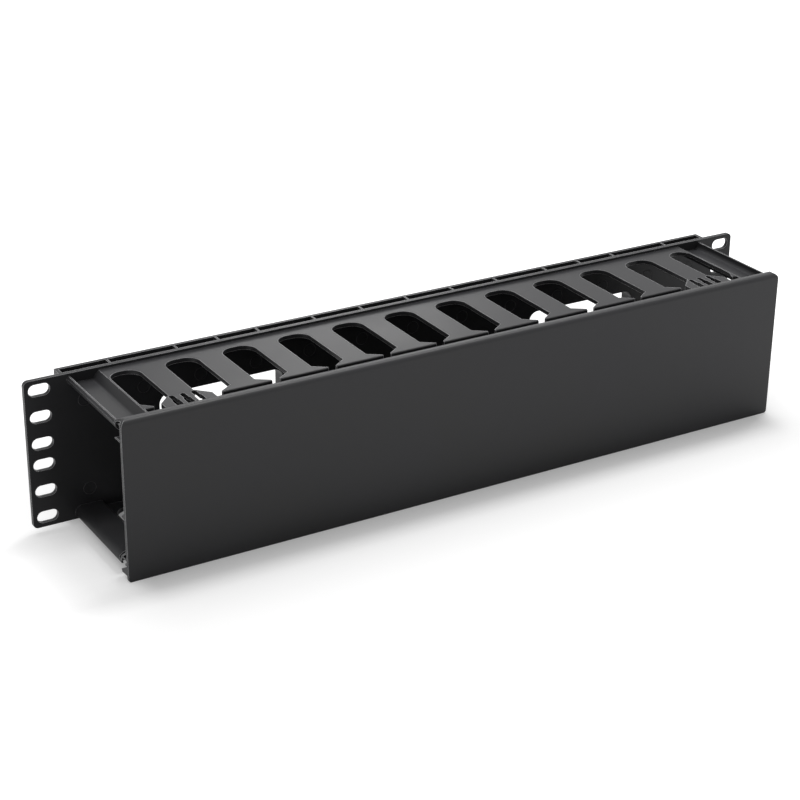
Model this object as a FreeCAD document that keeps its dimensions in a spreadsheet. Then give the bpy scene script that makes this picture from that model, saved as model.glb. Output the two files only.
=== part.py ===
import FreeCAD, Part
import math
import os

# Horizontal cable manager, two rack units high.
# Frame: X to the right across the rack, Y to the rear, Z up, in millimetres.
# The origin is the middle of the rack hole pattern, on the rear face of the ears, which is
# the plane that bolts to the rack rails. "Reach" is a distance forward of that plane.

DOC = FreeCAD.newDocument("cable_manager")

SIZES = {
    # Rack panel and its ears
    "rack_width": 482.6,
    "panel_height": 88.4,
    "panel_wall": 2.5,
    "panel_round": 3.0,
    "hole_edge": 8.75,
    "hole_gap_inner": 12.7,
    "hole_gap_outer": 15.875,
    "hole_length": 12.4,
    "hole_height": 7.0,
    # Raised frame and ribs behind the panel
    "ear_width": 21.3,
    "frame_depth": 7.2,
    "frame_wall": 2.0,
    "channel_depth": 8.0,
    "rib_wall": 1.2,
    "rib_pitch": 31.3,
    "port_rib_pitch": 25.5,
    "end_rib_inset": 30.0,
    # Cable ports through the panel
    "port_place": 124.25,
    "port_width": 77.5,
    "port_height": 39.0,
    "port_round": 6.0,
    "collar_wall": 2.0,
    # Upper and lower finger walls
    "duct_height": 85.0,
    "duct_wall": 2.5,
    "head_setback": 6.2,
    "head_round": 0.8,
    "lip_height": 4.0,
    "lip_wall": 2.0,
    # Slots between the fingers, whose pattern stands a little right of the middle
    "slot_shift": 1.4,
    "slot_overhang": 20.0,
    "slot_width": 20.0,
    "slot_start": 10.0,
    "slot_round": 8.0,
    "flare_run": 5.2,
    "head_front": 1.3,
    "head_gap": 5.0,
    "strip_width": 0.8,
    # Comb fingers that carry the cover
    "neck_run": 3.1,
    "comb_edge_round": 0.6,
    "comb_flare_lead": 3.5,
    "comb_flare_run": 7.6,
    "comb_rib_setback": 1.3,
    "comb_rib_wall": 1.5,
    "comb_rib_depth": 7.9,
    "notch_pitch": 6.5,
    "notch_rim": 1.1,
    "notch_width": 3.0,
    "notch_mouth": 4.2,
    "notch_depth": 9.0,
    "notch_mouth_depth": 3.0,
    "pivot_inset": 4.3,
    "pivot_drop": 4.6,
    "bead_radius": 1.8,
    "neck_wall": 1.5,
    "neck_root": 0.9,
    # Cable troughs at both ends of the duct
    "trough_inset": 3.5,
    "trough_span": 18.6,
    "trough_drop": 4.4,
    "trough_wall": 1.8,
    "trough_crest": 0.1,
    "trough_run": 3.7,
    "trough_foot_round": 1.2,
    "trough_corner": 4.5,
    "lip_bevel_width": 1.0,
    "lip_bevel_height": 1.4,
    "trough_gap": 1.2,
    "claw_sweep": 7.8,
    # Front cover
    "cover_overlap": 0.9,
    "cover_reach": 77.1,
    "cover_wall": 2.0,
    "cover_skirt": 5.4,
    "cover_round": 1.75,
    "flange_rise": 3.4,
    "flange_bend": 3.0,
    "flange_depth": 8.9,
    "flange_drop": 3.7,
    "flange_wall": 1.3,
    "flange_lean": 0.3,
    "flange_outer_fall": 0.65,
    "flange_inner_fall": 0.83,
    "flange_corner": 4.0,
    "upper_rib_drop": 8.4,
    "upper_rib_depth": 6.6,
    "upper_rib_wall": 1.1,
    "middle_rib_height": 7.2,
    "middle_rib_base": 3.8,
    "middle_rib_depth": 3.5,
    "middle_rib_tip": 0.7,
    # Hinge claw inside the cover
    "jaw_gap": 0.3,
    "claw_wall": 1.0,
    "claw_lean": 34.0,
    "claw_tip": 1.2,
    "brace_wall": 0.9,
    "brace_rise": 7.9,
    "jaw_wall": 1.1,
    "jaw_angle": 17.0,
    "jaw_root": 0.2,
    "end_jaw_width": 15.9,
    "end_jaw_top": 1.0,
    "end_jaw_base": 5.6,
    "end_jaw_run": 2.9,
    "end_jaw_dip": 5.4,
    "end_jaw_lip": 1.6,
}

SIDES = (1, -1)
SLOT_COUNT = 12

# Sizes that follow from others. The widths step in from the rack panel, the reaches step back
# from the cover's face, and the heights are set out from the outside of the finger walls.
FOLLOWING = {
    "hole_columns": "=rack_width - 2 * hole_edge",
    "frame_width": "=rack_width - 2 * ear_width",
    "trough_width": "=frame_width - 2 * trough_inset",
    "cover_width": "=trough_width + 2 * cover_overlap",
    "duct_width": "=trough_width - 2 * trough_span",
    "slot_pitch": f"=(duct_width + slot_overhang) / {SLOT_COUNT}",
    "pivot_reach": "=cover_reach - cover_wall - pivot_inset",
    "comb_reach": "=pivot_reach - neck_run",
    "head_reach": "=comb_reach - head_setback",
    "flare_end": "=head_reach - head_front",
    "slot_straight": "=flare_end - flare_run",
    "notch_start": "=head_reach - notch_depth",
    "notch_step": "=head_reach - notch_mouth_depth",
    "comb_rib_reach": "=notch_start - comb_rib_setback",
    "trough_reach": "=cover_reach - flange_depth - trough_gap",
    "pivot_height": "=duct_height / 2 - pivot_drop",
    "upper_rib_height": "=duct_height / 2 - upper_rib_drop",
    "cover_bottom": "=duct_height / 2 + cover_skirt",
    "flange_crown": "=duct_height / 2 + flange_rise",
    "cover_shoulder": "=flange_crown - flange_bend",
}

SHEET = DOC.addObject("Spreadsheet::Sheet", "Sizes")
for row, (alias, value) in enumerate([*SIZES.items(), *FOLLOWING.items()], start=1):
    SHEET.set(f"A{row}", alias.replace("_", " "))
    SHEET.set(f"B{row}", str(value))
    SHEET.setAlias(f"B{row}", alias)
DOC.recompute()


def size(alias):
    """The value of one driving dimension, as the sheet holds it."""
    return float(SHEET.get(alias))


# Sketches and features

def new_sketch(body, name, role, offset=None):
    """A sketch on one of the body's origin planes, moved along the plane's normal."""
    plane = next(item for item in body.Origin.OriginFeatures if item.Role == role)
    sketch = body.newObject("Sketcher::SketchObject", name)
    sketch.AttachmentSupport = [(plane, "")]
    sketch.MapMode = "FlatFace"
    if offset:
        sketch.setExpression("AttachmentOffset.Base.z", offset)
    return sketch


def corner_arc(before, corner, after, radius):
    """Ends and middle of the arc that rounds one corner of an outline."""
    inward = (before - corner).normalize()
    outward = (after - corner).normalize()
    half_angle = inward.getAngle(outward) / 2
    trim = radius / math.tan(half_angle)
    centre = corner + (inward + outward).normalize() * (radius / math.sin(half_angle))
    start = corner + inward * trim
    end = corner + outward * trim
    middle = centre + (corner - centre).normalize() * radius
    return start, middle, end


def draw_outline(sketch, points, rounds=None):
    """Close a loop of straight edges through the points, with some corners rounded."""
    rounds = rounds or {}
    corners = [FreeCAD.Vector(x, y, 0) for x, y in points]
    count = len(corners)
    joints = []
    for index, corner in enumerate(corners):
        radius = rounds.get(index, 0)
        if radius:
            before = corners[index - 1]
            after = corners[(index + 1) % count]
            joints.append(corner_arc(before, corner, after, radius))
        else:
            joints.append((corner, None, corner))
    for index, (start, middle, end) in enumerate(joints):
        if middle is not None:
            sketch.addGeometry(Part.Arc(start, middle, end))
        following = joints[(index + 1) % count][0]
        if (following - end).Length > 1e-6:
            sketch.addGeometry(Part.LineSegment(end, following))


def draw_box(sketch, left, right, low, high, radius=0):
    """Close a rectangle, with its corners rounded if a radius is given."""
    points = [(left, low), (right, low), (right, high), (left, high)]
    draw_outline(sketch, points, {index: radius for index in range(4)})


def ribbon(path, wall):
    """Outline of a thin wall of even thickness along a bent centre line."""
    nodes = [FreeCAD.Vector(x, y, 0) for x, y in path]
    runs = [(end - start).normalize() for start, end in zip(nodes, nodes[1:])]
    normals = [FreeCAD.Vector(-run.y, run.x, 0) for run in runs]
    left, right = [], []
    for index, node in enumerate(nodes):
        before = normals[max(index - 1, 0)]
        after = normals[min(index, len(normals) - 1)]
        mitre = (before + after).normalize()
        shift = mitre * (wall / 2 / mitre.dot(after))
        left.append((node.x + shift.x, node.y + shift.y))
        right.append((node.x - shift.x, node.y - shift.y))
    return left + right[::-1]


def pad(body, name, sketch, length, side="One side", reverse=False):
    """Raise a solid from a sketch, by a length that the sheet gives."""
    feature = body.newObject("PartDesign::Pad", name)
    feature.Profile = sketch
    feature.SideType = side
    feature.Reversed = reverse
    feature.setExpression("Length", length)
    sketch.Visibility = False
    body.Tip = feature
    DOC.recompute()
    return feature


def cut_through(body, name, sketch):
    """Cut a sketch through the whole body, both ways from its plane."""
    before = body.Shape.Volume
    feature = body.newObject("PartDesign::Pocket", name)
    feature.Profile = sketch
    feature.SideType = "Symmetric"
    feature.Type = "ThroughAll"
    sketch.Visibility = False
    body.Tip = feature
    DOC.recompute()
    if not body.Shape.Volume < before:
        raise RuntimeError(f"{name} cuts nothing")
    return feature


# Base moulding: panel, rear frame, finger walls, troughs and comb fingers

def add_panel(body):
    """Flat rack panel with rounded corners, its ears flush with it."""
    outline = new_sketch(body, "panel_outline", "XZ_Plane")
    half_width = size("rack_width") / 2
    half_height = size("panel_height") / 2
    draw_box(outline, -half_width, half_width, -half_height, half_height, size("panel_round"))
    pad(body, "panel", outline, "Sizes.panel_wall")


def rib_places():
    """Cross ribs: an even middle group, one group behind each port, one at each end."""
    places = [0]
    for side in SIDES:
        places += [side * size("rib_pitch"), side * 2 * size("rib_pitch")]
        places += [side * (size("port_place") + step * size("port_rib_pitch")) for step in (-1, 0, 1)]
        places += [side * (size("frame_width") / 2 - size("end_rib_inset"))]
    return places


def add_rear_frame(body):
    """Frame behind the panel: a ribbed channel along the top and the bottom, closed ends."""
    half_width = size("frame_width") / 2
    half_height = size("panel_height") / 2
    wall = size("frame_wall")
    floor = half_height - size("channel_depth")

    floors = new_sketch(body, "channel_floors_outline", "XZ_Plane")
    backs = new_sketch(body, "channel_backs_outline", "XZ_Plane", "-Sizes.frame_depth")
    ends = new_sketch(body, "frame_ends_outline", "XZ_Plane")
    ribs = new_sketch(body, "ribs_outline", "XZ_Plane")
    for side in SIDES:
        inner, outer = sorted((side * (floor - wall), side * floor))
        draw_box(floors, -half_width, half_width, inner, outer)
        inner, outer = sorted((side * (floor - wall), side * half_height))
        draw_box(backs, -half_width, half_width, inner, outer)
        inner, outer = sorted((side * (half_width - wall), side * half_width))
        draw_box(ends, inner, outer, -half_height, half_height)
    for place in rib_places():
        half_rib = size("rib_wall") / 2
        draw_box(ribs, place - half_rib, place + half_rib, -half_height, half_height)

    pad(body, "channel_floors", floors, "Sizes.frame_depth", reverse=True)
    pad(body, "channel_backs", backs, "Sizes.frame_wall")
    pad(body, "frame_ends", ends, "Sizes.frame_depth", reverse=True)
    pad(body, "ribs", ribs, "Sizes.frame_depth - Sizes.frame_wall", reverse=True)


def draw_ports(sketch, margin):
    """Both cable ports, grown all round by a margin."""
    half_width = size("port_width") / 2 + margin
    half_height = size("port_height") / 2 + margin
    radius = size("port_round") + margin
    for side in SIDES:
        middle = side * size("port_place")
        draw_box(sketch, middle - half_width, middle + half_width, -half_height, half_height, radius)


def add_ports(body):
    """Two rounded openings through the panel, each with a collar at the rear."""
    collars = new_sketch(body, "collars_outline", "XZ_Plane")
    draw_ports(collars, size("collar_wall"))
    pad(body, "collars", collars, "Sizes.frame_depth", reverse=True)
    ports = new_sketch(body, "ports_outline", "XZ_Plane")
    draw_ports(ports, 0)
    cut_through(body, "ports", ports)


def trough_section(side_x, side_z):
    """Section of one end trough: down from the finger wall, flat, up to a bevelled outer lip."""
    top = size("duct_height") / 2
    edge = size("duct_width") / 2
    lip = size("trough_width") / 2
    wall = size("trough_wall")
    floor = top - size("trough_drop")
    foot = edge + size("trough_run")
    points = [
        (edge - size("strip_width"), top),
        (edge + size("trough_crest"), top),
        (foot, floor),
        (lip - wall, floor),
        (lip - wall, top),
        (lip - size("lip_bevel_width"), top),
        (lip, top - size("lip_bevel_height")),
        (lip, floor - wall),
        (foot - wall / 2, floor - wall),
        (edge, top - size("duct_wall")),
        (edge - size("strip_width"), top - size("duct_wall")),
    ]
    rounds = {
        2: size("trough_foot_round"),
        3: size("trough_corner") - wall,
        7: size("trough_corner"),
        8: size("trough_foot_round"),
    }
    return [(side_x * x, side_z * z) for x, z in points], rounds


def add_troughs(body):
    """Troughs that turn the ends of both finger walls outward, so that cables don't chafe."""
    sections = new_sketch(body, "trough_sections", "XZ_Plane", "Sizes.panel_wall / 2")
    for side_x in SIDES:
        for side_z in SIDES:
            points, rounds = trough_section(side_x, side_z)
            draw_outline(sections, points, rounds)
    pad(body, "troughs", sections, "Sizes.trough_reach - Sizes.panel_wall / 2")

    # The lower fronts are hollowed round the pivot, clear of the jaws that turn past them.
    sweep = size("claw_sweep")
    pivot = FreeCAD.Vector(-size("pivot_reach"), -size("pivot_height"), 0)
    beyond = -size("cover_reach")
    rise = size("trough_drop") + size("trough_wall")
    ends = []
    for height in (pivot.y - rise, pivot.y + rise):
        run = math.sqrt(sweep ** 2 - rise ** 2)
        ends.append(FreeCAD.Vector(pivot.x + run, height, 0))
    fronts = new_sketch(body, "trough_fronts", "YZ_Plane")
    low, high = ends
    fronts.addGeometry(Part.Arc(low, pivot + FreeCAD.Vector(sweep, 0, 0), high))
    fronts.addGeometry(Part.LineSegment(high, FreeCAD.Vector(beyond, high.y, 0)))
    fronts.addGeometry(Part.LineSegment(FreeCAD.Vector(beyond, high.y, 0), FreeCAD.Vector(beyond, low.y, 0)))
    fronts.addGeometry(Part.LineSegment(FreeCAD.Vector(beyond, low.y, 0), low))
    cut_through(body, "trough_front_cuts", fronts)


def add_finger_walls(body):
    """Upper and lower walls, each with a rounded front edge and a lip turned inward."""
    sections = new_sketch(body, "finger_wall_sections", "YZ_Plane")
    top = size("duct_height") / 2
    wall = size("duct_wall")
    front = -size("head_reach")
    root = -size("panel_wall") / 2
    for side in SIDES:
        points = [
            (root, top),
            (front, top),
            (front, top - size("lip_height")),
            (front + size("lip_wall"), top - size("lip_height")),
            (front + size("lip_wall"), top - wall),
            (root, top - wall),
        ]
        draw_outline(sections, [(y, side * z) for y, z in points], {1: size("head_round")})
    pad(body, "finger_walls", sections, "Sizes.duct_width", side="Symmetric")


# A comb finger is the one between the last two slots at each end. It is so many slot pitches
# from the middle, and these slots have it at their left side or at their right side.
COMB_STEPS = SLOT_COUNT // 2 - 1
COMB_SLOTS_LEFT = (1, SLOT_COUNT - 1)
COMB_SLOTS_RIGHT = (0, SLOT_COUNT - 2)


def add_comb_fingers(body):
    """Longer fingers near each end, with a neck and a round bead for the cover to turn on."""
    top = size("duct_height") / 2
    wall = size("duct_wall")
    front = -size("comb_reach")
    back = -size("head_reach") + size("lip_wall")
    neck_root = (front + size("neck_root"), top - wall / 2)
    pivot = (-size("pivot_reach"), size("pivot_height"))
    rib_front = -size("comb_rib_reach")
    rib_back = rib_front + size("comb_rib_wall")
    rib_edge = top - size("comb_rib_depth")
    for side_x, hand in ((1, "right"), (-1, "left")):
        place = f"{side_x * COMB_STEPS} * Sizes.slot_pitch + Sizes.slot_shift"
        ribs = new_sketch(body, f"{hand}_comb_rib_outline", "YZ_Plane", place)
        tongues = new_sketch(body, f"{hand}_comb_outline", "YZ_Plane", place)
        necks = new_sketch(body, f"{hand}_neck_outline", "YZ_Plane", place)
        beads = new_sketch(body, f"{hand}_bead_outline", "YZ_Plane", place)
        for side in SIDES:
            inner, outer = sorted((side * rib_edge, side * (top - wall / 2)))
            draw_box(ribs, rib_front, rib_back, inner, outer)
            edge_round = {1: size("comb_edge_round")}
            tongue = [(back, top), (front, top), (front, top - wall), (back, top - wall)]
            draw_outline(tongues, [(y, side * z) for y, z in tongue], edge_round)
            neck = ribbon([neck_root, pivot], size("neck_wall"))
            draw_outline(necks, [(y, side * z) for y, z in neck])
            centre = FreeCAD.Vector(pivot[0], side * pivot[1], 0)
            beads.addGeometry(Part.Circle(centre, FreeCAD.Vector(0, 0, 1), size("bead_radius")))
        pad(body, f"{hand}_comb_ribs", ribs, "Sizes.slot_pitch - Sizes.slot_width", side="Symmetric")
        length = "Sizes.slot_pitch - Sizes.head_gap"
        pad(body, f"{hand}_comb", tongues, length, side="Symmetric")
        pad(body, f"{hand}_neck", necks, length, side="Symmetric")
        pad(body, f"{hand}_bead", beads, length, side="Symmetric")


def slot_outline(index):
    """One finger slot seen from above: rounded rear, straight sides, heads that nearly close it."""
    middle = (index - (SLOT_COUNT - 1) / 2) * size("slot_pitch") + size("slot_shift")
    half_slot = size("slot_width") / 2
    half_gap = size("head_gap") / 2
    strip = size("duct_width") / 2 - size("strip_width")
    left = max(middle - half_slot, -strip)
    right = min(middle + half_slot, strip)
    rear = -size("slot_start")
    beyond = -size("cover_reach")
    straight = -size("slot_straight")

    # A comb finger widens sooner, and by a longer slant, than the plain ones.
    comb_straight = straight + size("comb_flare_lead")
    comb_end = comb_straight - size("comb_flare_run")
    left_side = (straight, -size("flare_end"))
    right_side = left_side
    if index in COMB_SLOTS_LEFT:
        left_side = (comb_straight, comb_end)
    if index in COMB_SLOTS_RIGHT:
        right_side = (comb_straight, comb_end)
    points = [
        (left, rear),
        (left, left_side[0]),
        (middle - half_gap, left_side[1]),
        (middle - half_gap, beyond),
        (middle + half_gap, beyond),
        (middle + half_gap, right_side[1]),
        (right, right_side[0]),
        (right, rear),
    ]
    radius = min(size("slot_round"), (right - left) / 2)
    return points, {0: radius, 7: radius}


def cut_slots(body):
    """Finger slots through both walls."""
    slots = new_sketch(body, "slots_outline", "XY_Plane")
    for index in range(SLOT_COUNT):
        points, rounds = slot_outline(index)
        draw_outline(slots, points, rounds)
    cut_through(body, "slots", slots)


def notch_places(side):
    """Middles of the three notches in one comb finger."""
    middle = side * COMB_STEPS * size("slot_pitch") + size("slot_shift")
    return [middle + offset * size("notch_pitch") for offset in (-1, 0, 1)]


def notch_outline(middle):
    """One notch seen from above: round rear end, straight sides, wider mouth."""
    half_notch = size("notch_width") / 2
    half_mouth = size("notch_mouth") / 2
    rear = -size("notch_start")
    step = -size("notch_step")
    splay = step - (half_mouth - half_notch)
    beyond = -size("cover_reach")
    points = [
        (middle - half_notch, rear),
        (middle - half_notch, step),
        (middle - half_mouth, splay),
        (middle - half_mouth, beyond),
        (middle + half_mouth, beyond),
        (middle + half_mouth, splay),
        (middle + half_notch, step),
        (middle + half_notch, rear),
    ]
    return points, {0: half_notch, 7: half_notch}


def cut_notches(body):
    """Notches that let the comb fingers spring, the outer ones with a round rim behind them."""
    rim = size("notch_width") / 2 + size("notch_rim")
    rear = -size("notch_start") + size("notch_rim")
    front = -size("notch_step")
    for name, height in (("upper", "Sizes.duct_height / 2 - Sizes.duct_wall"),
                         ("lower", "-Sizes.duct_height / 2")):
        rims = new_sketch(body, f"{name}_rims_outline", "XY_Plane", height)
        for side in SIDES:
            for middle in notch_places(side)[::2]:
                left = middle - rim
                right = middle + rim
                points = [(left, rear), (left, front), (right, front), (right, rear)]
                draw_outline(rims, points, {0: rim, 3: rim})
        pad(body, f"{name}_rims", rims, "Sizes.duct_wall")

    notches = new_sketch(body, "notches_outline", "XY_Plane")
    for side in SIDES:
        for middle in notch_places(side):
            points, rounds = notch_outline(middle)
            draw_outline(notches, points, rounds)
    cut_through(body, "notches", notches)


def cut_rack_holes(body):
    """Six slotted holes in each ear, at the standard rack places."""
    holes = new_sketch(body, "rack_holes_outline", "XZ_Plane")
    half_height = size("hole_height") / 2
    half_run = size("hole_length") / 2
    first = size("hole_gap_inner") / 2
    second = first + size("hole_gap_outer")
    third = second + size("hole_gap_outer")
    for side_x in SIDES:
        middle = side_x * size("hole_columns") / 2
        for height in (first, second, third, -first, -second, -third):
            flat = half_run - half_height
            left = FreeCAD.Vector(middle - half_run, height, 0)
            right = FreeCAD.Vector(middle + half_run, height, 0)
            corners = [FreeCAD.Vector(middle + x * flat, height + z * half_height, 0)
                       for x, z in ((-1, -1), (1, -1), (1, 1), (-1, 1))]
            holes.addGeometry(Part.LineSegment(corners[0], corners[1]))
            holes.addGeometry(Part.Arc(corners[1], right, corners[2]))
            holes.addGeometry(Part.LineSegment(corners[2], corners[3]))
            holes.addGeometry(Part.Arc(corners[3], left, corners[0]))
    cut_through(body, "rack_holes", holes)


def make_base():
    body = DOC.addObject("PartDesign::Body", "duct_base")
    body.Label = "duct_base"
    add_panel(body)
    add_rear_frame(body)
    add_ports(body)
    add_troughs(body)
    add_finger_walls(body)
    add_comb_fingers(body)
    cut_slots(body)
    cut_notches(body)
    cut_rack_holes(body)
    return body


# Front cover: plate, rolled top flange, inner ribs and hinge claw

def add_cover_plate(body):
    """Flat front plate with its lower corners rounded."""
    outline = new_sketch(body, "cover_outline", "XZ_Plane", "Sizes.cover_reach - Sizes.cover_wall")
    half_width = size("cover_width") / 2
    low = -size("cover_bottom")
    high = size("cover_shoulder")
    points = [(-half_width, low), (half_width, low), (half_width, high), (-half_width, high)]
    draw_outline(outline, points, {0: size("cover_round"), 1: size("cover_round")})
    pad(body, "cover_plate", outline, "Sizes.cover_wall")


def drooping_arc(start, end):
    """Arc that leaves its start level and falls away to its end."""
    run = end.x - start.x
    drop = start.y - end.y
    radius = (run ** 2 + drop ** 2) / (2 * drop)
    half_turn = math.atan(drop / run)
    middle = start + FreeCAD.Vector(radius * math.sin(half_turn), -radius * (1 - math.cos(half_turn)), 0)
    return Part.Arc(start, middle, end)


def add_flange(body):
    """Top edge of the cover, rolled back over the finger heads and turned down at its tip."""
    face = -size("cover_reach")
    inside = face + size("cover_wall")
    shoulder = size("cover_shoulder")
    crown = size("flange_crown")
    wall = size("flange_wall")
    tip = face + size("flange_depth")
    tip_height = crown - size("flange_drop")
    bend = crown - shoulder
    bow = bend * (1 - math.cos(math.radians(45)))
    lean = wall * size("flange_lean")
    outer = [
        FreeCAD.Vector(face, shoulder, 0),
        FreeCAD.Vector(face + bow, crown - bow, 0),
        FreeCAD.Vector(face + bend, crown, 0),
        FreeCAD.Vector(tip - lean, crown - bend * size("flange_outer_fall"), 0),
        FreeCAD.Vector(tip, tip_height, 0),
    ]
    inner = [
        FreeCAD.Vector(tip - wall, tip_height, 0),
        FreeCAD.Vector(tip - wall - lean, crown - bend * size("flange_inner_fall"), 0),
        FreeCAD.Vector(face + bend, crown - wall, 0),
        FreeCAD.Vector(inside + wall / 5, crown - wall - bend / 6, 0),
        FreeCAD.Vector(inside, shoulder, 0),
    ]
    section = new_sketch(body, "flange_section", "YZ_Plane")
    section.addGeometry(Part.Arc(outer[0], outer[1], outer[2]))
    section.addGeometry(drooping_arc(outer[2], outer[3]))
    section.addGeometry(Part.LineSegment(outer[3], outer[4]))
    tip_middle = (outer[4] + inner[0]) / 2 - FreeCAD.Vector(0, wall / 2, 0)
    section.addGeometry(Part.Arc(outer[4], tip_middle, inner[0]))
    section.addGeometry(Part.LineSegment(inner[0], inner[1]))
    section.addGeometry(drooping_arc(inner[2], inner[1]))
    section.addGeometry(Part.Arc(inner[2], inner[3], inner[4]))
    section.addGeometry(Part.LineSegment(inner[4], outer[0]))
    pad(body, "flange", section, "Sizes.cover_width", side="Symmetric")


def round_top_corners(body):
    """Round both upper corners of the cover, through the plate and its flange."""
    radius = size("flange_corner")
    edge = size("cover_width") / 2
    crown = size("flange_crown")
    corners = new_sketch(body, "top_corners_outline", "XZ_Plane")
    for side in SIDES:
        centre = FreeCAD.Vector(side * (edge - radius), crown - radius, 0)
        low = centre + FreeCAD.Vector(side * radius, 0, 0)
        high = centre + FreeCAD.Vector(0, radius, 0)
        middle = centre + FreeCAD.Vector(side, 1, 0).normalize() * radius
        outside = [
            high,
            high + FreeCAD.Vector(0, radius, 0),
            high + FreeCAD.Vector(side * 2 * radius, radius, 0),
            low + FreeCAD.Vector(side * radius, 0, 0),
            low,
        ]
        corners.addGeometry(Part.Arc(low, middle, high))
        for start, end in zip(outside, outside[1:]):
            corners.addGeometry(Part.LineSegment(start, end))
    cut_through(body, "top_corners", corners)


def add_cover_ribs(body):
    """Two ribs on the inside of the plate: a shelf under the upper heads and a small wedge."""
    inside = -size("cover_reach") + size("cover_wall")
    root = inside - size("cover_wall") / 2
    height = size("upper_rib_height")
    depth = size("upper_rib_depth")
    droop = size("upper_rib_wall") / 2
    shelf = new_sketch(body, "upper_rib_section", "YZ_Plane")
    path = [(root, height), (inside + depth * 0.75, height), (inside + depth, height - droop)]
    draw_outline(shelf, ribbon(path, size("upper_rib_wall")))
    pad(body, "upper_rib", shelf, "Sizes.cover_width", side="Symmetric")

    wedge = new_sketch(body, "middle_rib_section", "YZ_Plane")
    top = -size("middle_rib_height")
    low = top - size("middle_rib_base")
    edge = inside + size("middle_rib_depth")
    tip = low + size("middle_rib_tip")
    draw_outline(wedge, [(root, top), (inside, top), (edge, tip), (edge, low), (root, low)])
    pad(body, "middle_rib", wedge, "Sizes.cover_width", side="Symmetric")


def add_claw(body):
    """Claw along the lower inside of the cover that clips round the beads and turns on them."""
    pivot_y = -size("pivot_reach")
    pivot_z = -size("pivot_height")
    inside = -size("cover_reach") + size("cover_wall")
    root = inside - size("cover_wall") / 2
    seat = size("bead_radius") + size("jaw_gap")

    # The web lies above the bead and the arm leans down behind it, both tangent to its seat.
    centre_line = seat + size("claw_wall") / 2
    lean = math.radians(size("claw_lean"))
    peak_run = (centre_line - centre_line * math.sin(lean)) / math.cos(lean)
    tip_run = (centre_line + size("claw_tip") * math.sin(lean)) / math.cos(lean)
    peak = (pivot_y + peak_run, pivot_z + centre_line)
    tip = (pivot_y + tip_run, pivot_z - size("claw_tip"))
    claw = new_sketch(body, "claw_section", "YZ_Plane")
    draw_outline(claw, ribbon([(root, peak[1]), peak, tip], size("claw_wall")))
    pad(body, "claw", claw, "Sizes.cover_width", side="Symmetric")

    brace = new_sketch(body, "brace_section", "YZ_Plane")
    draw_outline(brace, ribbon([(root, pivot_z + size("brace_rise")), peak], size("brace_wall")))
    pad(body, "brace", brace, "Sizes.cover_width", side="Symmetric")

    # The lower jaw stops short of the necks, which swing past it as the cover turns down.
    angle = math.radians(size("jaw_angle"))
    jaw_radius = seat + size("jaw_wall") / 3
    jaw_root = (root, pivot_z + size("jaw_root"))
    jaw_tip = (pivot_y - jaw_radius * math.cos(angle), pivot_z - jaw_radius * math.sin(angle))
    jaw = new_sketch(body, "jaw_section", "YZ_Plane")
    draw_outline(jaw, ribbon([jaw_root, jaw_tip], size("jaw_wall")))
    pad(body, "jaw", jaw, "Sizes.cover_width", side="Symmetric")

    # Beyond the finger walls the lower jaw is a full wedge under the ends of the duct.
    top = pivot_z - size("end_jaw_top")
    dip = pivot_z - size("end_jaw_dip")
    edge = pivot_y + size("end_jaw_run")
    lip = size("end_jaw_lip")
    wedge = [
        (root, top),
        (inside, top),
        (edge, dip),
        (edge - lip / 2, dip - lip),
        (inside, top - size("end_jaw_base")),
        (root, top - size("end_jaw_base")),
    ]
    for reverse, place, hand in ((True, "Sizes.cover_width / 2", "right"),
                                 (False, "-Sizes.cover_width / 2", "left")):
        section = new_sketch(body, f"{hand}_end_jaw_section", "YZ_Plane", place)
        draw_outline(section, wedge)
        pad(body, f"{hand}_end_jaw", section, "Sizes.end_jaw_width", reverse=reverse)


def make_cover():
    body = DOC.addObject("PartDesign::Body", "front_cover")
    body.Label = "front_cover"
    add_cover_plate(body)
    add_flange(body)
    add_cover_ribs(body)
    add_claw(body)
    round_top_corners(body)
    return body


# Build, check and write

PIECES = [make_base(), make_cover()]
DOC.recompute()

for item in DOC.Objects:
    if "Invalid" in item.State or "Error" in item.State:
        raise RuntimeError(f"{item.Name}: {item.State}")

os.makedirs("parts", exist_ok=True)
for piece in PIECES:
    shape = piece.Shape
    if shape.isNull() or not shape.isValid() or len(shape.Solids) != 1:
        raise RuntimeError(f"{piece.Label} is not one valid solid")
    shape.exportStep(f"parts/{piece.Label}.step")
    box = shape.BoundBox
    print(f"{piece.Label}: {shape.Volume / 1000:.1f} cm3, {len(shape.Faces)} faces, "
          f"x {box.XMin:.1f} to {box.XMax:.1f}, y {box.YMin:.1f} to {box.YMax:.1f}, "
          f"z {box.ZMin:.1f} to {box.ZMax:.1f}")
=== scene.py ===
import math

import bmesh
import bpy
from mathutils import Matrix, Vector


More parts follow.
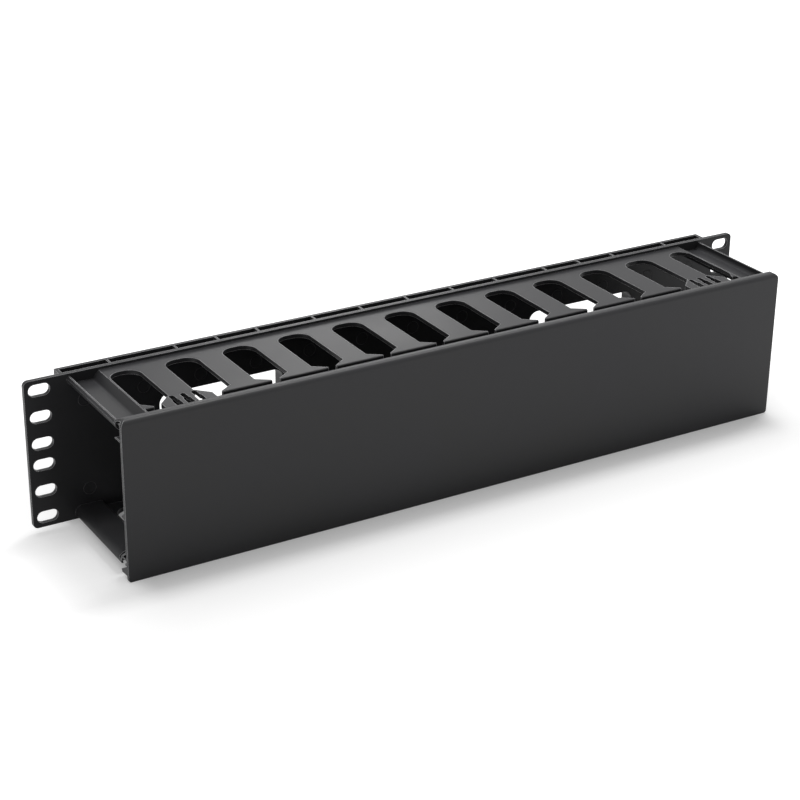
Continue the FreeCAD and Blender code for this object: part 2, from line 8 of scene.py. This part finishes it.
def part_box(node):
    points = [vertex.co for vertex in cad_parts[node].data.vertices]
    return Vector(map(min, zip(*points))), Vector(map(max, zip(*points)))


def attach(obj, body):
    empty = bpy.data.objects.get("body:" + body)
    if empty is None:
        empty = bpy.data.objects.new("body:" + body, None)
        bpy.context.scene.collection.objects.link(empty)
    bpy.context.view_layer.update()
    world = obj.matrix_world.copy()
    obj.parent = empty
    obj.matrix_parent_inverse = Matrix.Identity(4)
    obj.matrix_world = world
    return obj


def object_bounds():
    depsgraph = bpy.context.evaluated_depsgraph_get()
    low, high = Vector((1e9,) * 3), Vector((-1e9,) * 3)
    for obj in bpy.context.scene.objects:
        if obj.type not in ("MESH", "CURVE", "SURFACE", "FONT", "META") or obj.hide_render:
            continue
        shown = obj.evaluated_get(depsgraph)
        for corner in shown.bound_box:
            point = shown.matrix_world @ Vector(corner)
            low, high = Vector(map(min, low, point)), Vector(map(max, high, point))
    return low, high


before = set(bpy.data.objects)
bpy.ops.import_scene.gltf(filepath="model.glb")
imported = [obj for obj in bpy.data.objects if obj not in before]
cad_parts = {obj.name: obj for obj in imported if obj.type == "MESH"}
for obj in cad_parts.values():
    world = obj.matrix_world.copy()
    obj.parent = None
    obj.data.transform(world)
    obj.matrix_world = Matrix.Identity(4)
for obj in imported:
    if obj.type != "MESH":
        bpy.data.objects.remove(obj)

bl_info = {
    "name": "Rack Cable Manager Finish",
    "version": (1, 0, 0),
    "blender": (4, 5, 0),
    "location": "View3D > Sidebar > Cable Manager",
    "description": "Finishes a horizontal rack cable manager in moulded black plastic and sets it on a "
                   "plain studio floor",
    "category": "Object",
}

CAD_LOW, CAD_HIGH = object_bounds()
_, BASE_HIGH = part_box("duct_base")
COVER_LOW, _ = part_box("front_cover")

MM = 0.001

# The panel's front face stands this far in front of the rack rails, and the slots repeat along it.
PANEL_WALL = 2.5 * MM
SLOT_PITCH = 34.65 * MM
SLOT_SHIFT = 1.4 * MM

# Ejector pins met the panel in two rows, and in one pair more beyond each end of the finger walls.
PIN_HEIGHT = 27 * MM
PIN_END = 207 * MM
PIN_ROOT = 0.02 * MM
PIN_SIDES = 40

# Skin of the mouldings: tone of its flow clouds, size and depth of its grain, and its edges' radius and
# painted highlight colour
DUCT_SKIN = {"mottle": "#313133", "grain": 0.6 * MM, "grain_depth": 0.012 * MM,
             "edge_highlight_colour": "#d4d4d6", "edge_round": 0.6 * MM}
COVER_SKIN = {"mottle": "#343436", "grain": 0.7 * MM, "grain_depth": 0.01 * MM,
              "edge_highlight_colour": "#d4d4d6", "edge_round": 0.6 * MM}
PIN_SKIN = {"grain": 0.6 * MM, "grain_depth": 0.004 * MM, "edge_highlight_colour": "#5c5c5e", "edge_round": 0.3 * MM}

CLOUD_SIZE = 70 * MM
# Size of the patches in which the painted edge highlight is stronger and fainter
HIGHLIGHT_PATCH_SIZE = 9 * MM
SMOOTHER, ROUGHER = 0.03, 0.04

# A rounded edge's normal matches the flat one less and less; the painted highlight starts and is full at
# these matches.
HIGHLIGHT_STARTS, HIGHLIGHT_FULL = 0.99, 0.86

# Edges with less open space round them than the first share get no painted highlight, and past the second get
# it fully.
SHELTERED, EXPOSED = 0.6, 0.95
SHELTER_REACH = 3 * MM

# The floor lies just under the lowest edge, and the painted shade round the foot is deepest within this half
# length.
FLOOR_GAP = 0.1 * MM
FLOOR_SPECKLE = 3 * MM
FOOT_END = 203 * MM

# The painted shade reaches less far past the open ends of the object than past its long sides, so distance
# counts more there.
END_WEIGHT = 1.8

# Distance from the foot in millimetres, and the strength of the floor's glow there, weak near the foot as
# painted shade
FLOOR_LIFTS = ((0, 0.17), (10, 0.21), (20, 0.31), (35, 0.41), (60, 0.46), (100, 0.54), (250, 0.95))

# Place and turn of the camera, solved from the rack holes and the edges in the photograph
CAMERA_PLACE = (-569.77 * MM, -939.115 * MM, 480.797 * MM)
CAMERA_YAW, CAMERA_PITCH, CAMERA_ROLL = 31.011, 24.559, 0.6197


# Small helpers

def linear(hex_colour):
    """sRGB hex to the linear red, green, blue and alpha that the shaders take."""
    channels = [int(hex_colour[i:i + 2], 16) / 255 for i in (1, 3, 5)]
    return [c / 12.92 if c <= 0.04045 else ((c + 0.055) / 1.055) ** 2.4 for c in channels] + [1.0]


def add_node(tree, kind, inputs=None, **settings):
    """Add a node with its settings, and set or feed its inputs, which go by name or by number."""
    node = tree.nodes.new(kind)
    for name, value in settings.items():
        setattr(node, name, value)
    for key, value in (inputs or {}).items():
        if isinstance(value, bpy.types.NodeSocket):
            tree.links.new(value, node.inputs[key])
        else:
            node.inputs[key].default_value = value
    return node


def multiply(tree, first, second):
    """Product of two values."""
    return add_node(tree, "ShaderNodeMath", {0: first, 1: second}, operation="MULTIPLY").outputs["Value"]


def blend(tree, factor, first, second):
    """Mix of two colours; a mix node takes its colours as inputs 6 and 7 and gives output 2."""
    return add_node(tree, "ShaderNodeMix", {"Factor": factor, 6: first, 7: second},
                    data_type="RGBA").outputs[2]


def seen_directly(tree):
    """One for what the camera, reflections and clear things see, and zero for light on other things."""
    ray = add_node(tree, "ShaderNodeLightPath")
    seen = ray.outputs["Is Camera Ray"]
    for kind in ("Is Glossy Ray", "Is Transmission Ray"):
        seen = add_node(tree, "ShaderNodeMath", {0: seen, 1: ray.outputs[kind]},
                        operation="ADD", use_clamp=True).outputs["Value"]
    return seen


def mesh_object(name, build):
    """An object whose mesh a function fills in."""
    mesh = bpy.data.meshes.new(name)
    shape = bmesh.new()
    build(shape)
    bmesh.ops.recalc_face_normals(shape, faces=shape.faces)
    shape.to_mesh(mesh)
    shape.free()
    obj = bpy.data.objects.new(name, mesh)
    bpy.context.scene.collection.objects.link(obj)
    return obj


# Materials

def moulded_abs(name, colour, roughness, sheen, mottle, grain, grain_depth, edge_highlight_colour, edge_round):
    """Injection-moulded black ABS from a spark-eroded tool.

    The eye sees a near black skin whose satin sheen carries a fine, even grain, and the grain
    takes part of the sheen away. The sheen is a little uneven where the melt cooled, and the
    small moulded radius of each edge catches the light and carries a pale painted highlight in patches.
    """
    material = bpy.data.materials.new(name)
    material.use_nodes = True
    tree = material.node_tree
    tree.nodes.clear()
    place = add_node(tree, "ShaderNodeTexCoord").outputs["Object"]

    # Flow clouds in the skin are seen only as a faint change of tone.
    clouds = add_node(tree, "ShaderNodeTexNoise",
                      {"Vector": place, "Scale": 1 / CLOUD_SIZE, "Detail": 3.0, "Roughness": 0.55})
    cloud_tone = add_node(tree, "ShaderNodeMapRange",
                          {"Value": clouds.outputs["Fac"], "From Min": 0.35, "From Max": 0.65})
    skin = blend(tree, cloud_tone.outputs["Result"], linear(colour), linear(mottle))

    # The true erosion grain is about 0.1 mm; it is drawn coarser, so that it shows at all.
    pits = add_node(tree, "ShaderNodeTexNoise",
                    {"Vector": place, "Scale": 1 / grain, "Detail": 2.0, "Roughness": 0.6})
    edge = add_node(tree, "ShaderNodeBevel", {"Radius": edge_round}, samples=6)
    bump = add_node(tree, "ShaderNodeBump",
                    {"Height": pits.outputs["Fac"], "Distance": grain_depth, "Strength": 1.0,
                     "Normal": edge.outputs["Normal"]})

    # Edges are where the rounded normal leaves the flat one, and only outer edges get the painted highlight.
    flat = add_node(tree, "ShaderNodeNewGeometry").outputs["Normal"]
    match = add_node(tree, "ShaderNodeVectorMath", {0: edge.outputs["Normal"], 1: flat},
                     operation="DOT_PRODUCT")
    highlight_mask = add_node(tree, "ShaderNodeMapRange",
                   {"Value": match.outputs["Value"], "From Min": HIGHLIGHT_STARTS, "From Max": HIGHLIGHT_FULL})
    patchy = add_node(tree, "ShaderNodeTexNoise",
                      {"Vector": place, "Scale": 1 / HIGHLIGHT_PATCH_SIZE, "Detail": 3.0, "Roughness": 0.6})
    patches = add_node(tree, "ShaderNodeMapRange",
                       {"Value": patchy.outputs["Fac"], "From Min": 0.3, "From Max": 0.7, "To Min": 0.55})
    openness = add_node(tree, "ShaderNodeAmbientOcclusion", {"Distance": SHELTER_REACH},
                        samples=4, only_local=True)
    outer = add_node(tree, "ShaderNodeMapRange",
                     {"Value": openness.outputs["AO"], "From Min": SHELTERED, "From Max": EXPOSED})
    highlight_in_patches = multiply(tree, highlight_mask.outputs["Result"], patches.outputs["Result"])
    highlight_on_outer = multiply(tree, highlight_in_patches, outer.outputs["Result"])
    # Painted highlight: the skin turns pale along outer edges, in patches.
    highlighted_skin = blend(tree, highlight_on_outer, skin, linear(edge_highlight_colour))

    # Gloss varies by a few hundredths with the clouds.
    gloss = add_node(tree, "ShaderNodeMapRange",
                     {"Value": clouds.outputs["Fac"], "From Min": 0.3, "From Max": 0.7,
                      "To Min": roughness - SMOOTHER, "To Max": roughness + ROUGHER})
    shader = add_node(tree, "ShaderNodeBsdfPrincipled",
                      {"Base Color": highlighted_skin, "Roughness": gloss.outputs["Result"],
                       "Normal": bump.outputs["Normal"], "IOR": 1.54, "Specular IOR Level": sheen})
    add_node(tree, "ShaderNodeOutputMaterial", {"Surface": shader.outputs["BSDF"]})
    return material


def floor_paint(colour, low, high, lifts):
    """Matt studio floor: white paper lit by the lamps, which keeps the shadow near the object.

    Away from the object's foot, which low and high bound, the paper rises to plain white for
    For what the camera and reflections see, the paper glows: weakly at the object's foot, which
    low and high bound, and more with distance up to plain white, so the shade round the foot is
    partly the real shadow and partly painted shade; lifts pairs the distance with the glow.
    """
    material = bpy.data.materials.new("matt_studio_floor")
    material.use_nodes = True
    tree = material.node_tree
    tree.nodes.clear()
    place = add_node(tree, "ShaderNodeTexCoord").outputs["Object"]
    speckle = add_node(tree, "ShaderNodeTexNoise",
                       {"Vector": place, "Scale": 1 / FLOOR_SPECKLE, "Detail": 2.0})
    tone = add_node(tree, "ShaderNodeMapRange", {"Value": speckle.outputs["Fac"], "To Min": 0.995})
    darker = [channel * 0.9 for channel in colour[:3]] + [1.0]
    paint = blend(tree, tone.outputs["Result"], darker, colour)
    matt = add_node(tree, "ShaderNodeBsdfDiffuse", {"Color": paint, "Roughness": 1.0})

    # Distance from the foot: from each point to the nearest point of the box round the foot.
    above_low = add_node(tree, "ShaderNodeVectorMath", {0: place, 1: (low[0], low[1], -1.0)},
                         operation="MAXIMUM")
    nearest = add_node(tree, "ShaderNodeVectorMath",
                       {0: above_low.outputs["Vector"], 1: (high[0], high[1], 1.0)}, operation="MINIMUM")
    gap = add_node(tree, "ShaderNodeVectorMath", {0: place, 1: nearest.outputs["Vector"]},
                   operation="SUBTRACT")
    weighted = add_node(tree, "ShaderNodeVectorMath",
                        {0: gap.outputs["Vector"], 1: (END_WEIGHT, 1.0, 1.0)}, operation="MULTIPLY")
    away = add_node(tree, "ShaderNodeVectorMath", {0: weighted.outputs["Vector"]}, operation="LENGTH")
    far = lifts[-1][0]
    share = add_node(tree, "ShaderNodeMapRange", {"Value": away.outputs["Value"], "From Max": far})
    lift = add_node(tree, "ShaderNodeValToRGB", {"Fac": share.outputs["Result"]})
    lift.color_ramp.interpolation = "B_SPLINE"
    stops = lift.color_ramp.elements
    while len(stops) < len(lifts):
        stops.new(0.5)
    for stop, (distance, rise) in zip(stops, lifts):
        stop.position = distance / far
        stop.color = (rise, rise, rise, 1.0)
    # Painted shade: the glow is weakest at the foot and rises with distance from it.
    strength = multiply(tree, seen_directly(tree), lift.outputs["Color"])
    shine = add_node(tree, "ShaderNodeEmission", {"Strength": strength})
    both = add_node(tree, "ShaderNodeAddShader", {0: matt.outputs["BSDF"], 1: shine.outputs["Emission"]})
    add_node(tree, "ShaderNodeOutputMaterial", {"Surface": both.outputs["Shader"]})
    return material


# Settings that a user would change

class DuctFinish(bpy.types.PropertyGroup):
    colour: bpy.props.StringProperty(
        name="Colour", description="sRGB hex colour of the duct's black plastic", default="#2f2f30")
    roughness: bpy.props.FloatProperty(
        name="Roughness", description="Roughness of the duct's moulded skin", default=0.36,
        min=0.0, max=1.0, subtype="FACTOR")
    sheen: bpy.props.FloatProperty(
        name="Sheen", description="Strength of the duct's satin reflection", default=0.12,
        min=0.0, max=1.0, subtype="FACTOR")


class PinMarks(bpy.types.PropertyGroup):
    diameter: bpy.props.FloatProperty(
        name="Diameter", description="Diameter of the ejector pins", default=8 * MM,
        unit="LENGTH", subtype="DISTANCE", precision=4)
    edge: bpy.props.FloatProperty(
        name="Edge", description="Width of the witness line round a pin", default=0.5 * MM,
        unit="LENGTH", subtype="DISTANCE", precision=5)
    rise: bpy.props.FloatProperty(
        name="Rise", description="Height of the witness line above the panel", default=0.12 * MM,
        unit="LENGTH", subtype="DISTANCE", precision=5)


class CoverFinish(bpy.types.PropertyGroup):
    colour: bpy.props.StringProperty(
        name="Colour", description="sRGB hex colour of the cover's black plastic", default="#323233")
    roughness: bpy.props.FloatProperty(
        name="Roughness", description="Roughness of the cover's moulded skin", default=0.42,
        min=0.0, max=1.0, subtype="FACTOR")
    sheen: bpy.props.FloatProperty(
        name="Sheen", description="Strength of the cover's satin reflection", default=0.20,
        min=0.0, max=1.0, subtype="FACTOR")


class StageSetup(bpy.types.PropertyGroup):
    floor_width: bpy.props.FloatProperty(
        name="Floor width", description="Side of the square studio floor", default=12.0,
        unit="LENGTH", subtype="DISTANCE")
    surround: bpy.props.FloatProperty(
        name="Surround", description="Strength of the even studio light from all round", default=0.32,
        min=0.0)
    lens: bpy.props.FloatProperty(
        name="Lens", description="Focal length of the camera on a 36 mm sensor", default=90.02,
        unit="CAMERA")


# Operators

class CABLE_OT_duct(bpy.types.Operator):
    """Give the duct its moulded plastic"""
    bl_idname = "cable_manager.duct"
    bl_label = "Finish Duct"

    def execute(self, context):
        finish = context.scene.duct_finish
        plastic = moulded_abs("duct_satin_abs", finish.colour, finish.roughness, finish.sheen, **DUCT_SKIN)
        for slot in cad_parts["duct_base"].material_slots:
            slot.material = plastic
        return {"FINISHED"}


class CABLE_OT_pins(bpy.types.Operator):
    """Raise the witness lines that ejector pins left on the front of the panel"""
    bl_idname = "cable_manager.pins"
    bl_label = "Add Pin Marks"

    def execute(self, context):
        marks = context.scene.pin_marks
        face = -PANEL_WALL
        # One pin stands behind each finger between two slots, in the upper and in the lower row.
        middles = [(SLOT_SHIFT + step * SLOT_PITCH, side * PIN_HEIGHT)
                   for step in range(-5, 6) for side in (1, -1)]
        middles += [(hand * PIN_END, side * PIN_HEIGHT) for hand in (1, -1) for side in (1, -1)]
        turns = [2 * math.pi * step / PIN_SIDES for step in range(PIN_SIDES)]

        def rings(shape):
            # Each mark is a low ridge: an outer foot, a crest and an inner foot.
            profile = ((0.0, -PIN_ROOT), (-marks.edge / 2, marks.rise), (-marks.edge, -PIN_ROOT))
            for x, z in middles:
                loops = []
                for inward, rise in profile:
                    radius = marks.diameter / 2 + inward
                    loops.append([shape.verts.new((x + radius * math.cos(turn), face - rise,
                                                   z + radius * math.sin(turn))) for turn in turns])
                loops.append(loops[0])
                for inner, outer in zip(loops, loops[1:]):
                    for step in range(PIN_SIDES):
                        after = (step + 1) % PIN_SIDES
                        shape.faces.new((inner[step], inner[after], outer[after], outer[step]))

        obj = mesh_object("ejector_pin_marks", rings)
        duct = context.scene.duct_finish
        obj.data.materials.append(moulded_abs("pin_mark_abs", duct.colour, duct.roughness, duct.sheen,
                                              mottle=duct.colour, **PIN_SKIN))
        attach(obj, "base")
        return {"FINISHED"}


class CABLE_OT_cover(bpy.types.Operator):
    """Give the front cover its moulded plastic"""
    bl_idname = "cable_manager.cover"
    bl_label = "Finish Cover"

    def execute(self, context):
        finish = context.scene.cover_finish
        plastic = moulded_abs("cover_satin_abs", finish.colour, finish.roughness, finish.sheen, **COVER_SKIN)
        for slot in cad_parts["front_cover"].material_slots:
            slot.material = plastic
        return {"FINISHED"}


class CABLE_OT_stage(bpy.types.Operator):
    """Set up the floor, the studio light and the camera"""
    bl_idname = "cable_manager.stage"
    bl_label = "Set Stage"

    def execute(self, context):
        setup = context.scene.stage_setup
        scene = context.scene
        scene.view_settings.view_transform = "Standard"
        self.make_floor(setup)
        self.make_surround(scene, setup)
        self.make_lamps(scene)
        self.make_camera(scene, setup)
        return {"FINISHED"}

    def make_floor(self, setup):
        half = setup.floor_width / 2
        level = CAD_LOW.z - FLOOR_GAP

        def sheet(shape):
            corners = [shape.verts.new((x * half, y * half, level))
                       for x, y in ((-1, -1), (1, -1), (1, 1), (-1, 1))]
            shape.faces.new(corners)

        floor = mesh_object("studio_floor", sheet)
        lifts = [(distance * MM, rise) for distance, rise in FLOOR_LIFTS]
        floor.data.materials.append(floor_paint(linear("#e0e0e0"), (-FOOT_END, COVER_LOW.y),
                                                (FOOT_END, BASE_HIGH.y), lifts))

    def make_surround(self, scene, setup):
        # Reflections and the camera see a plain white room, and a dimmer one lights the rest.
        world = bpy.data.worlds.new("studio_surround")
        world.use_nodes = True
        tree = world.node_tree
        tree.nodes.clear()
        light = add_node(tree, "ShaderNodeBackground", {"Color": (1, 1, 1, 1), "Strength": setup.surround})
        white = add_node(tree, "ShaderNodeBackground", {"Color": (1, 1, 1, 1), "Strength": 1.0})
        both = add_node(tree, "ShaderNodeMixShader",
                        {"Fac": seen_directly(tree), 1: light.outputs["Background"],
                         2: white.outputs["Background"]})
        add_node(tree, "ShaderNodeOutputWorld", {"Surface": both.outputs["Shader"]})
        scene.world = world

    def make_lamps(self, scene):
        # A long softbox overhead and to the rear, whose light falls off softly in front of the
        # object, a strip that draws the band along the flange, and a small one low at the rear.
        # Each has its place, the point it aims at, its two sides in metres and its watts.
        lamps = (
            ("overhead_softbox", (-0.1, 0.5, 1.5), (-0.1, 0.3, 0.0), (1.9, 1.25), 13.0),
            ("flange_softbox", (0.6, 0.25, 1.5), (0.6, -0.1, 0.05), (1.0, 0.25), 14.0),
            ("rear_softbox", (0.78, 1.5, 0.75), (-0.05, 0.0, 0.04), (0.4, 0.5), 2.3),
        )
        for name, place, aim, spread, power in lamps:
            lamp = bpy.data.lights.new(name, "AREA")
            lamp.shape = "RECTANGLE"
            lamp.size, lamp.size_y = spread
            lamp.energy = power
            obj = bpy.data.objects.new(name, lamp)
            obj.location = place
            obj.rotation_euler = (Vector(aim) - Vector(place)).to_track_quat("-Z", "Y").to_euler()
            scene.collection.objects.link(obj)

    def make_camera(self, scene, setup):
        yaw, pitch, roll = (math.radians(turn) for turn in (CAMERA_YAW, CAMERA_PITCH, CAMERA_ROLL))
        forward = Vector((math.sin(yaw) * math.cos(pitch), math.cos(yaw) * math.cos(pitch), -math.sin(pitch)))
        level_right = Vector((math.cos(yaw), -math.sin(yaw), 0))
        level_up = level_right.cross(forward)
        right = level_right * math.cos(roll) + level_up * math.sin(roll)
        up = level_up * math.cos(roll) - level_right * math.sin(roll)
        turn = Matrix((right, up, -forward)).transposed().to_4x4()
        camera = bpy.data.cameras.new("photo_camera")
        camera.lens = setup.lens
        camera.sensor_width = 36.0
        camera.clip_start = 0.05
        camera.clip_end = 50.0
        obj = bpy.data.objects.new("photo_camera", camera)
        obj.matrix_world = Matrix.Translation(CAMERA_PLACE) @ turn
        scene.collection.objects.link(obj)
        scene.camera = obj


class CABLE_PT_panel(bpy.types.Panel):
    bl_label = "Cable Manager"
    bl_idname = "CABLE_PT_panel"
    bl_space_type = "VIEW_3D"
    bl_region_type = "UI"
    bl_category = "Cable Manager"

    def draw(self, context):
        layout = self.layout
        for settings, fields, button in (
            (context.scene.duct_finish, ("colour", "roughness", "sheen"), CABLE_OT_duct),
            (context.scene.pin_marks, ("diameter", "edge", "rise"), CABLE_OT_pins),
            (context.scene.cover_finish, ("colour", "roughness", "sheen"), CABLE_OT_cover),
            (context.scene.stage_setup, ("floor_width", "surround", "lens"), CABLE_OT_stage),
        ):
            box = layout.box()
            for field in fields:
                box.prop(settings, field)
            box.operator(button.bl_idname)


CLASSES = (DuctFinish, PinMarks, CoverFinish, StageSetup, CABLE_OT_duct, CABLE_OT_pins, CABLE_OT_cover,
           CABLE_OT_stage, CABLE_PT_panel)
SETTINGS = {"duct_finish": DuctFinish, "pin_marks": PinMarks, "cover_finish": CoverFinish,
            "stage_setup": StageSetup}


def register():
    for item in CLASSES:
        bpy.utils.register_class(item)
    for name, group in SETTINGS.items():
        setattr(bpy.types.Scene, name, bpy.props.PointerProperty(type=group))


def unregister():
    for name in SETTINGS:
        delattr(bpy.types.Scene, name)
    for item in reversed(CLASSES):
        bpy.utils.unregister_class(item)


def main():
    register()
    bpy.ops.cable_manager.duct()
    bpy.ops.cable_manager.pins()
    bpy.ops.cable_manager.cover()
    bpy.ops.cable_manager.stage()


if __name__ == "__main__":
    main()
